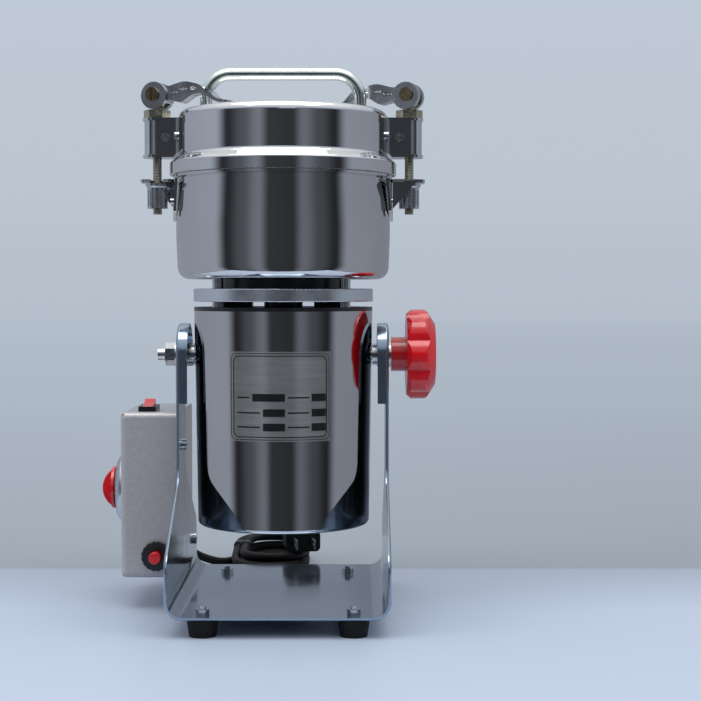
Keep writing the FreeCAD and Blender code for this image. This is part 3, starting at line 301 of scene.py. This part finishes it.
def cast_aluminium():
    """Tumbled casting: pebbled skin, rubbed brighter in patches."""
    made = Finish("cast_lever", metallic=1.0)
    base = srgb(234, 236, 239)
    skin = made.noise(700.0, 4.0, rough=0.6)
    cloud = made.noise(90.0, 4.0)
    made.colour(made.ramp(cloud, [(0.25, tone(base, 0.72)), (0.55, base), (0.8, tone(base, 1.12))]))
    made.rough(made.spread(cloud, 0.12, 0.25, 0.3, 0.7))
    made.bumps((skin, 0.12, 0.00010), (made.noise(180.0, 2.0), 0.15, 0.0003))
    return made.material


def turned_metal(name, colour, centre, axis, roughness):
    """Faced metal with fine rings about a centre line."""
    made = Finish(name, metallic=1.0)
    offset = made.add("ShaderNodeVectorMath", operation="SUBTRACT")
    offset.inputs[1].default_value = centre
    made.link(made.place, offset.inputs[0])
    flat = made.add("ShaderNodeVectorMath", operation="MULTIPLY")
    flat.inputs[1].default_value = tuple(0.0 if letter == axis else 1.0 for letter in "XYZ")
    made.link(offset.outputs[0], flat.inputs[0])
    length = made.add("ShaderNodeVectorMath", operation="LENGTH")
    made.link(flat.outputs[0], length.inputs[0])
    rings = made.add("ShaderNodeTexNoise", noise_dimensions="1D")
    rings.inputs["Scale"].default_value = 4000.0
    rings.inputs["Detail"].default_value = 3.0
    made.link(length.outputs["Value"], rings.inputs["W"])
    made.colour(made.ramp(rings.outputs["Fac"], [(0.3, tone(colour, 0.88)), (0.7, tone(colour, 1.06))]))
    made.rough(made.spread(made.noise(80.0, 4.0), roughness * 0.8, roughness * 1.3, 0.3, 0.7))
    made.bumps((rings.outputs["Fac"], 0.25, 0.00004))
    return made.material


def printed_foil():
    """Half-matt foil with faint brushing along the label."""
    made = Finish("foil", metallic=0.72)
    base = srgb(176, 176, 174)
    brushed = made.noise(500.0, 3.0, (0.05, 0.05, 1.0))
    made.colour(made.ramp(brushed, [(0.3, tone(base, 0.88)), (0.7, tone(base, 1.08))]))
    made.rough(made.spread(made.noise(90.0, 3.0), 0.10, 0.18, 0.3, 0.7))
    made.bumps((brushed, 0.05, 0.00003))
    return made.material


STEEL = srgb(226, 226, 228)
RED = srgb(204, 12, 24)
BLACK = srgb(18, 19, 21)

finishes = {
    "frame_paint": frame_paint(),
    "box_paint": hammered_paint(),
    "black_rubber": moulded("black_rubber", srgb(12, 12, 13), 0.62, 900.0, 0.00005, wear=1.4, shine=0.25),
    "white_rubber": moulded("white_rubber", srgb(224, 223, 216), 0.5, 800.0, 0.00005, wear=1.02),
    "black_plastic": moulded("black_plastic", BLACK, 0.36, 1500.0, 0.00004, coat=0.1, wear=1.4),
    "red_plastic": moulded("red_plastic", RED, 0.24, 350.0, 0.00002, coat=0.5, wear=1.06),
    "silver_dial": turned_metal("silver_dial", srgb(205, 208, 214), DIAL_CENTRE, "X", 0.3),
    "zinc_steel": plated("zinc_steel", srgb(206, 209, 212), srgb(176, 184, 196), 0.24),
    "bright_steel": formed_steel("bright_steel", srgb(222, 224, 226), 0.05, 0.13, 300.0),
    "mirror_steel": polished_steel("mirror_steel", STEEL, 0.02, 0.05),
    "blade_steel": formed_steel("blade_steel", srgb(200, 202, 205), 0.22, 0.4, 800.0),
    "lamination_steel": ridged("lamination_steel", srgb(120, 122, 126), "Z", 0.0006, 0.0001, roughness=0.5),
    "copper": ridged("copper", srgb(196, 112, 66), "Z", 0.0008, 0.0002, roughness=0.3),
    "brass": formed_steel("brass", srgb(214, 180, 110), 0.22, 0.36, 700.0),
    "satin_aluminium": turned_metal("satin_aluminium", srgb(224, 230, 237), (SPINDLE_X, 0, 0.2), "Z", 0.3),
    "cast_lever": cast_aluminium(),
    "yellow_zinc": ridged("yellow_zinc", srgb(186, 178, 158), "Z", 0.001, 0.00012, roughness=0.26),
    "foil": printed_foil(),
}
bowl_finish = polished_steel("bowl_steel", srgb(214, 214, 216), 0.025, 0.06)
shell_finish = polished_steel("shell_steel", srgb(204, 204, 206), 0.02, 0.05)
smooth_zinc = plated("yellow_zinc_smooth", srgb(196, 190, 168), srgb(178, 174, 150), 0.28)
bronze_zinc = plated("yellow_zinc_screw", srgb(178, 158, 122), srgb(150, 138, 112), 0.22)
handle_finish = formed_steel("handle_steel", srgb(232, 241, 233), 0.14, 0.22, 150.0)

own_finish = {
    "bowl": bowl_finish,
    "motor_shell": shell_finish,
    "clamp_seats": smooth_zinc,
    "left_lever_screw": bronze_zinc,
    "right_lever_screw": bronze_zinc,
    "lid_handle": handle_finish,
}
for subpart in record["subparts"]:
    node = frame["nodes"][subpart["node"]]
    finish = own_finish.get(subpart["node"], finishes[subpart["material_slot"]])
    node.data.materials.clear()
    node.data.materials.append(finish)


# ---------------------------------------------------------------- piece tools

def piece(name, data, finish, body):
    """A new piece with its material, joined to its body."""
    made = bpy.data.objects.new(name, data)
    scene.collection.objects.link(made)
    data.materials.append(finish)
    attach(made, body)
    return made


def smooth(data):
    for face in data.polygons:
        face.use_smooth = True


# ---------------------------------------------------------------- mains cord

CORD = 0.006
HANK = Vector((SPINDLE_X - 0.016, 0.152, 0.0))
HANK_STRAIGHT = 0.025
FIRST_TURN, LAST_TURN = 0.84, 5.10
OUTER, INNER = 0.025, 0.019
PER_TURN = 16


def eased(value, start, end):
    """0 before start and 1 after end, with a smooth change between."""
    share = min(1.0, max(0.0, (value - start) / (end - start)))
    return share * share * (3 - 2 * share)


def hank_point(turn):
    """One point of the hank, which runs clockwise seen from above from its far end."""
    inward = eased(turn, 1.4, 1.65) - eased(turn, 2.85, 3.1) + eased(turn, 4.3, 4.55)
    radius = (OUTER - (OUTER - INNER) * inward) * 1.02
    layer = eased(turn, 2.15, 2.38) + eased(turn, 3.6, 3.83) + eased(turn, 4.85, 5.13)
    height = CORD / 2 + CORD * layer
    half_circle = math.pi * radius
    straight = 2 * HANK_STRAIGHT
    along = (turn % 1.0) * 2 * (half_circle + straight)
    if along < half_circle / 2:
        angle = along / radius
        return HANK + Vector((radius * math.sin(angle), HANK_STRAIGHT + radius * math.cos(angle), height))
    along -= half_circle / 2
    if along < straight:
        return HANK + Vector((radius, HANK_STRAIGHT - along, height))
    along -= straight
    if along < half_circle:
        angle = along / radius
        return HANK + Vector((radius * math.cos(angle), -HANK_STRAIGHT - radius * math.sin(angle), height))
    along -= half_circle
    if along < straight:
        return HANK + Vector((-radius, along - HANK_STRAIGHT, height))
    angle = (along - straight) / radius
    return HANK + Vector((-radius * math.cos(angle), HANK_STRAIGHT + radius * math.sin(angle), height))


cord_exit = Vector((SPINDLE_X - 0.087, 0.103, 0.032))
lead = [
    cord_exit,
    Vector((SPINDLE_X - 0.087, 0.123, 0.0315)),
    Vector((SPINDLE_X - 0.076, 0.144, 0.012)),
    Vector((SPINDLE_X - 0.055, 0.151, 0.003)),
    Vector((SPINDLE_X - 0.043, 0.166, 0.003)),
]
steps = int((LAST_TURN - FIRST_TURN) * PER_TURN)
turns = [hank_point(FIRST_TURN + step / PER_TURN) for step in range(steps + 1)]
tail = [
    Vector((SPINDLE_X + 0.00165, 0.1659, 0.0256)),
    Vector((SPINDLE_X + 0.0036, 0.152, 0.0256)),
]
route = lead + turns + tail

cord_curve = bpy.data.curves.new("mains_lead", "CURVE")
cord_curve.dimensions = "3D"
cord_curve.bevel_depth = CORD / 2
cord_curve.bevel_resolution = 5
cord_curve.resolution_u = 6
cord_curve.use_fill_caps = True
spline = cord_curve.splines.new("NURBS")
spline.points.add(len(route) - 1)
for point, place in zip(spline.points, route):
    point.co = (*place, 1.0)
spline.order_u = 3
spline.use_endpoint_u = True
cord = piece("mains_lead", cord_curve, finishes["black_rubber"], "stand")
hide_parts("mains_cord", "mains_cord_coil", "mains_cord_tail")


def measured(curve_object):
    """The length of a curve's own line."""
    bare = curve_object.data.copy()
    bare.bevel_depth = 0.0
    probe = bpy.data.objects.new("probe", bare)
    scene.collection.objects.link(probe)
    bpy.context.view_layer.update()
    line = bpy.data.meshes.new_from_object(probe.evaluated_get(bpy.context.evaluated_depsgraph_get()))
    length = 0.0
    for edge in line.edges:
        start, end = (line.vertices[index].co for index in edge.vertices)
        length += (end - start).length
    bpy.data.objects.remove(probe)
    return length


cord_length = measured(cord)
print("cord length", round(cord_length, 4))


TIE_HALF_X, TIE_HALF_Z = 0.0062, 0.0088
TIE_WIDTH, TIE_THICK = 0.005, 0.0005
TIE_HEIGHT = 0.0094


def tie_round(name, centre):
    """A closed tie band round a bundle that runs along Y."""
    corner = TIE_HALF_X * 0.45
    ring = []
    for corner_x, corner_z, start in ((1, 1, 0), (-1, 1, 90), (-1, -1, 180), (1, -1, 270)):
        for step in range(5):
            angle = math.radians(start + step * 22.5)
            ring.append((
                corner_x * (TIE_HALF_X - corner) + corner * math.cos(angle),
                corner_z * (TIE_HALF_Z - corner) + corner * math.sin(angle),
            ))
    mesh = bmesh.new()
    rows = []
    for side_y in (-TIE_WIDTH / 2, TIE_WIDTH / 2):
        for grow in (0.0, TIE_THICK):
            row = []
            for x, z in ring:
                direction = Vector((x, 0, z)).normalized() * grow
                row.append(mesh.verts.new(centre + Vector((x, side_y, z)) + direction))
            rows.append(row)
    near_in, near_out, far_in, far_out = rows
    count = len(ring)
    for index in range(count):
        after = (index + 1) % count
        mesh.faces.new((near_out[index], near_out[after], far_out[after], far_out[index]))
        mesh.faces.new((far_in[index], far_in[after], near_in[after], near_in[index]))
        mesh.faces.new((near_in[index], near_in[after], near_out[after], near_out[index]))
        mesh.faces.new((far_out[index], far_out[after], far_in[after], far_in[index]))
    bmesh.ops.recalc_face_normals(mesh, faces=mesh.faces)
    data = bpy.data.meshes.new(name)
    mesh.to_mesh(data)
    mesh.free()
    smooth(data)
    made = piece(name, data, finishes["black_plastic"], "stand")
    bevel = made.modifiers.new("round", "BEVEL")
    bevel.width = TIE_THICK * 0.3
    bevel.segments = 2
    return made


middle = (OUTER + INNER) / 2
tie_left = tie_round("hank_tie_left", HANK + Vector((-middle, 0.006, TIE_HEIGHT)))
tie_right = tie_round("hank_tie_right", HANK + Vector((middle, -0.014, TIE_HEIGHT)))


# ---------------------------------------------------------------- label print

def label_point(x, z):
    """The point of the label's face straight behind a point in front of it, a little proud."""
    node = frame["nodes"]["label_plate"]
    hit, place, normal, face = node.ray_cast(Vector((x, -0.2, z)), Vector((0, 1, 0)))
    if not hit:
        raise RuntimeError("the print runs off the label")
    return place + Vector((0, -0.00008, 0))


def rounded_ring(half_x, half_z, corner):
    """Points of a rectangle with round corners, close enough together to follow the motor."""
    points = []
    corners = ((1, 1, 0), (-1, 1, 90), (-1, -1, 180), (1, -1, 270))
    for index, (side_x, side_z, start) in enumerate(corners):
        for step in range(7):
            angle = math.radians(start + step * 15)
            x = side_x * (half_x - corner) + corner * math.cos(angle)
            points.append((x, side_z * (half_z - corner) + corner * math.sin(angle)))
        if index in (0, 2):
            straight = 2 * (half_x - corner)
            for step in range(1, 24):
                x = side_x * (half_x - corner - straight * step / 24)
                points.append((x, side_z * half_z))
    return points


def label_print():
    """Printed border lines and bars on the rating label, wrapped round the motor."""
    low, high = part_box("label_plate")
    middle_x, middle_z = (low[0] + high[0]) / 2, (low[2] + high[2]) / 2
    width, height = high[0] - low[0], high[2] - low[2]
    data = bmesh.new()

    def printed(x, z):
        return data.verts.new(label_point(middle_x + x, middle_z + z))

    for inset, line in ((0.0009, 0.0004), (0.0024, 0.0006)):
        half_x, half_z = width / 2 - inset, height / 2 - inset
        outer = [printed(x, z) for x, z in rounded_ring(half_x, half_z, 0.0035)]
        inner = [printed(x, z) for x, z in rounded_ring(half_x - line, half_z - line, 0.0035 - line)]
        for index in range(len(outer)):
            after = (index + 1) % len(outer)
            data.faces.new((outer[index], outer[after], inner[after], inner[index]))

    bars = []
    broad, thin = 0.0425, 0.008
    for row, left in ((-0.01, -0.27), (-0.18, -0.164), (-0.34, -0.164)):
        bars.append((left, 0.052, row - broad, row + broad))
        bars.append((0.312, 0.45, row - broad, row + broad))
        bars.append((-0.42, left - 0.03, row - thin, row + thin))
        bars.append((0.08, 0.29, row - thin, row + thin))
    for left, right, bottom, top in bars:
        steps = max(2, int((right - left) * width / 0.002))
        rows = []
        for share in (bottom, top):
            rows.append([
                printed(width * (left + (right - left) * step / steps), height * share)
                for step in range(steps + 1)
            ])
        for step in range(steps):
            data.faces.new((rows[0][step], rows[0][step + 1], rows[1][step + 1], rows[1][step]))
    made = bpy.data.meshes.new("label_print")
    data.to_mesh(made)
    data.free()
    piece("label_print", made, finishes["black_plastic"], "mill")


label_print()


# ---------------------------------------------------------------- timer dial

MARK_END = 0.0208
LONG_MARK, SHORT_MARK = 0.0187, 0.0195
NUMBER_RADIUS = 0.0166


def dial_marks():
    """Minute marks and numbers printed on the timer's dial."""
    centre = Vector(DIAL_CENTRE)
    node = frame["nodes"]["timer_dial"]
    data = bmesh.new()

    def on_dial(angle, radius):
        y = centre.y + radius * math.sin(angle)
        z = centre.z + radius * math.cos(angle)
        hit, place, normal, face = node.ray_cast(Vector((-0.3, y, z)), Vector((1, 0, 0)))
        if not hit:
            raise RuntimeError("a dial mark runs off the dial")
        return place + Vector((-0.00006, 0, 0))

    for step in range(31):
        angle = -math.radians(step * 10)
        long_mark = step % 5 == 0
        inner = LONG_MARK if long_mark else SHORT_MARK
        half = math.radians(0.9 if long_mark else 0.5)
        corners = [
            on_dial(angle - half, inner), on_dial(angle + half, inner),
            on_dial(angle + half, MARK_END), on_dial(angle - half, MARK_END),
        ]
        data.faces.new([data.verts.new(corner) for corner in corners])
    made = bpy.data.meshes.new("dial_marks")
    data.to_mesh(made)
    data.free()
    piece("dial_marks", made, finishes["black_plastic"], "stand")
    for step in range(0, 31, 5):
        angle = -math.radians(step * 10)
        text = bpy.data.curves.new("dial_number_%d" % step, "FONT")
        text.body = str(step)
        text.size = 0.0036
        text.align_x = "CENTER"
        text.align_y = "CENTER"
        text.extrude = 0.00003
        spot = on_dial(angle, NUMBER_RADIUS)
        number = piece("dial_number_%d" % step, text, finishes["black_plastic"], "stand")
        number.matrix_world = Matrix.Translation(spot) @ Matrix((
            (0, 0, -1, 0), (-1, 0, 0, 0), (0, 1, 0, 0), (0, 0, 0, 1),
        ))


dial_marks()


# ---------------------------------------------------------------- stage and light

# The ground is pale up to TABLE_END and reaches FLOOR metres each way. A patch of it near the mill,
# TABLE each way and FRONT to the front, shows in reflections.
TABLE_END = 0.144
TABLE, FRONT = 0.3, -0.22
FLOOR = 9.0


def floor_finish():
    """A pale table top that darkens towards its far edge; beyond it the floor takes the grey-blue of the
    backdrop, with painted shading that darkens it by the table and lightens it far off.
    """
    made = Finish("stage_floor", roughness=0.32, Specular_IOR_Level=0.35)
    split = made.add("ShaderNodeSeparateXYZ")
    made.link(made.place, split.inputs[0])
    near = made.spread(split.outputs["Y"], 0.0, 1.0, -0.6, TABLE_END)
    table = made.ramp(near, [
        (0.0, srgb(174, 185, 203)), (0.6, srgb(172, 183, 201)),
        (0.8, srgb(172, 183, 201)), (1.0, srgb(152, 161, 177)),
    ])
    # Painted shading: beyond the table the colour runs from dark grey-blue at the table edge to pale far
    # off. This offsets the fall of the lamps' light and gives the backdrop's shading.
    far = made.spread(split.outputs["Y"], 0.0, 1.0, TABLE_END, FLOOR)
    wall = made.ramp(far, [
        (0.0, srgb(139, 147, 154)), (0.043, srgb(151, 159, 168)), (0.19, srgb(191, 202, 214)),
        (0.32, srgb(206, 217, 228)), (0.66, srgb(217, 228, 239)), (1.0, srgb(220, 231, 242)),
    ])
    beyond = made.spread(split.outputs["Y"], 0.0, 1.0, TABLE_END - 0.001, TABLE_END + 0.001)
    made.colour(made.mixed(beyond, table, wall))
    made.bumps((made.noise(300.0, 3.0), 0.02, 0.0001))
    return made.material


def floor_piece(name, finish, rectangles, mirrored):
    """Flat rectangles on the ground; the outer ones stay out of mirror reflections."""
    corners, faces = [], []
    for x_low, y_low, x_high, y_high in rectangles:
        start = len(corners)
        corners += [(x_low, y_low, 0), (x_high, y_low, 0), (x_high, y_high, 0), (x_low, y_high, 0)]
        faces.append((start, start + 1, start + 2, start + 3))
    data = bpy.data.meshes.new(name)
    data.from_pydata(corners, [], faces)
    data.materials.append(finish)
    made = bpy.data.objects.new(name, data)
    made.visible_glossy = mirrored
    scene.collection.objects.link(made)


table_finish = floor_finish()
floor_piece("stage_table", table_finish, [(-TABLE, FRONT, TABLE, TABLE)], True)
floor_piece("stage_floor", table_finish, [
    (-FLOOR, -FLOOR, FLOOR, FRONT), (-FLOOR, TABLE, FLOOR, FLOOR),
    (-FLOOR, FRONT, -TABLE, TABLE), (TABLE, FRONT, FLOOR, TABLE),
], False)

# The studio round the mill: how far round a surface stands on each side, in degrees from straight
# ahead, and how bright it is, from 0 to 255. The right side is a little darker, and daylight gives
# all of it a cool cast.
DARK_MIDDLE = (12, 50)
STRIP_LIGHT = (24, 110)
GREY_SCREEN = (42, 75)
BLACK_CARD = (60, 40)
PALE_WALL = (76, 145)
PALE_BACK = (180, 130)
RIGHT_SIDE = 0.9
STUDIO_GAIN = 1.45
DAYLIGHT = (0.96, 1.0, 1.07)


def studio_stops():
    """Ramp stops for the studio over a full turn, from behind by the left and the front to behind."""
    surfaces = (DARK_MIDDLE, STRIP_LIGHT, GREY_SCREEN, BLACK_CARD, PALE_WALL, PALE_BACK)
    stops = []
    for side, share in ((-1, 1.0), (1, RIGHT_SIDE)):
        for degrees, level in surfaces:
            colour = srgb(*[level * share * part for part in DAYLIGHT])
            stops.append(((side * degrees + 180) / 360, tone(colour, STUDIO_GAIN)))
    return sorted(stops)


def room():
    """Surroundings: a dim open side in front, pale walls at the sides and back, a bright ceiling."""
    world = bpy.data.worlds.new("room")
    scene.world = world
    world.use_nodes = True
    graph = Graph(world.node_tree)
    split = graph.add("ShaderNodeSeparateXYZ")
    graph.link(graph.add("ShaderNodeTexCoord").outputs["Generated"], split.inputs[0])
    x, y, z = split.outputs
    azimuth = graph.maths("ARCTAN2", x, graph.maths("MULTIPLY", y, -1.0))
    share = graph.maths("ADD", graph.maths("DIVIDE", azimuth, 2 * math.pi), 0.5)
    around = graph.ramp(share, studio_stops(), "EASE")
    ceiling = graph.ramp(graph.spread(z, 0.0, 1.0, 0.3, 0.9), [
        (0.0, srgb(146, 155, 168)), (0.4, srgb(205, 213, 223)), (1.0, srgb(255, 255, 255)),
    ], "EASE")
    seen = graph.mixed(graph.spread(z, 0.0, 1.0, 0.28, 0.36), around, ceiling)
    wall = graph.ramp(graph.spread(z, 0.0, 1.0, -0.03, 0.18), [
        (0.0, srgb(180, 190, 202)), (0.15, srgb(183, 193, 205)),
        (0.57, srgb(189, 199, 210)), (1.0, srgb(191, 201, 214)),
    ], "EASE")
    path = graph.add("ShaderNodeLightPath")
    background = graph.add("ShaderNodeBackground")
    graph.link(graph.mixed(path.outputs["Is Camera Ray"], seen, wall), background.inputs["Color"])
    output = graph.add("ShaderNodeOutputWorld")
    graph.link(background.outputs[0], output.inputs[0])


room()


def softbox(name, place, target, size, power, glossy=True):
    lamp = bpy.data.lights.new(name, "AREA")
    lamp.shape = "RECTANGLE"
    lamp.size, lamp.size_y = size
    lamp.energy = power
    made = bpy.data.objects.new(name, lamp)
    made.location = place
    made.rotation_euler = (Vector(target) - Vector(place)).to_track_quat("-Z", "Y").to_euler()
    made.visible_glossy = glossy
    scene.collection.objects.link(made)


softbox("top_light", (0.0, -0.25, 1.7), (0.0, 0.0, 0.2), (1.6, 1.2), 20.0)
softbox("left_light", (-1.5, -0.9, 1.1), (0.0, 0.0, 0.15), (0.9, 0.9), 9.0, False)
softbox("right_light", (1.5, -0.9, 1.1), (0.0, 0.0, 0.15), (0.9, 0.9), 8.0, False)

scene.view_settings.view_transform = "Standard"
